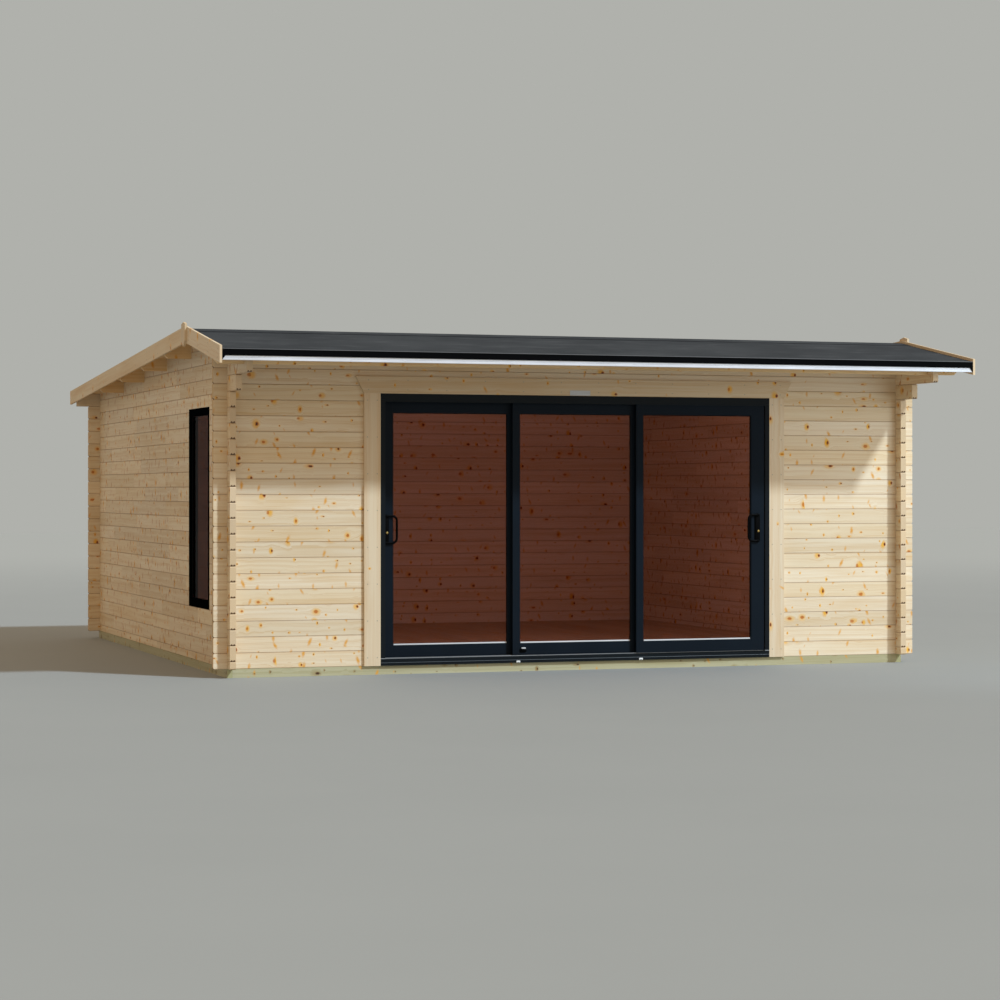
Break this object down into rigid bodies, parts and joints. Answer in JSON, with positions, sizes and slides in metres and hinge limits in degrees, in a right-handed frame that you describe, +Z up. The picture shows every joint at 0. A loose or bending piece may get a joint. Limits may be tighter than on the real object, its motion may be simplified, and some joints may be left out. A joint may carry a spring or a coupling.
{
  "type": "log cabin",
  "caption": "Square log cabin with interlocking corner logs, an off-centre low roof ridge, a deep front eave on corbels and a wide sliding glass door.",
  "frame": {"origin": "on the ground, under the middle of the roof's outline", "axes": "+X right as seen facing the door, +Y from the door to the back wall, +Z up"},
  "size_m": [5.7766, 6.256, 2.532],
  "materials": {
    "pine_logs": "planed, untreated",
    "pine_beams": "planed, untreated",
    "roof_boards": "planed, untreated",
    "floor_boards": "planed, untreated",
    "planed_pine": "planed, untreated",
    "treated_timber": "pressure treated, sawn",
    "roofing_felt": "matt sheet",
    "eave_metal": "white coated",
    "black_aluminium": "powder coated, satin",
    "tinted_glass": "tinted, clear",
    "handle_black": "satin black",
    "plate_metal": "brushed, bare",
    "cap_plastic": "moulded"
  },
  "bodies": {
    "cabin": {"front_wall_left": "pine_logs", "front_wall_right": "pine_logs", "front_wall_head": "pine_logs", "rear_wall": "pine_logs", "left_wall": "pine_logs", "right_wall": "pine_logs", "ridge_purlin": "pine_beams", "rear_purlins": "pine_beams", "eave_purlin": "pine_beams", "roof_boards_front": "roof_boards", "roof_boards_rear": "roof_boards", "floor": "floor_boards", "barge_left_front": "planed_pine", "barge_left_rear": "planed_pine", "barge_right_front": "planed_pine", "barge_right_rear": "planed_pine", "finial_left": "planed_pine", "finial_right": "planed_pine", "door_trim": "planed_pine", "door_lining": "planed_pine", "bearer_front": "treated_timber", "bearer_rear": "treated_timber", "bearer_left": "treated_timber", "bearer_right": "treated_timber", "floor_joists": "treated_timber", "felt_front": "roofing_felt", "felt_rear": "roofing_felt", "eave_strip_front": "eave_metal", "eave_strip_rear": "eave_metal", "door_frame": "black_aluminium", "window_frame": "black_aluminium", "window_glass": "tinted_glass", "door_plate": "plate_metal", "drain_caps": "cap_plastic"},
    "panel_left": {"panel_left_frame": "black_aluminium", "panel_left_glass": "tinted_glass", "panel_left_handle": "handle_black"},
    "panel_middle": {"panel_middle_frame": "black_aluminium", "panel_middle_glass": "tinted_glass", "panel_middle_bolt": "handle_black"},
    "panel_right": {"panel_right_frame": "black_aluminium", "panel_right_glass": "tinted_glass", "panel_right_handle": "handle_black"}
  },
  "joints": [
    {"name": "panel_left_slide", "type": "slide", "parent": "cabin", "child": "panel_left", "axis": [1, 0, 0], "range_m": [0, 0.863]},
    {"name": "panel_middle_slide", "type": "slide", "parent": "cabin", "child": "panel_middle", "axis": [1, 0, 0], "range_m": [0, 1.01]},
    {"name": "panel_right_slide", "type": "slide", "parent": "cabin", "child": "panel_right", "axis": [1, 0, 0], "range_m": [-1.94, 0]}
  ]
}
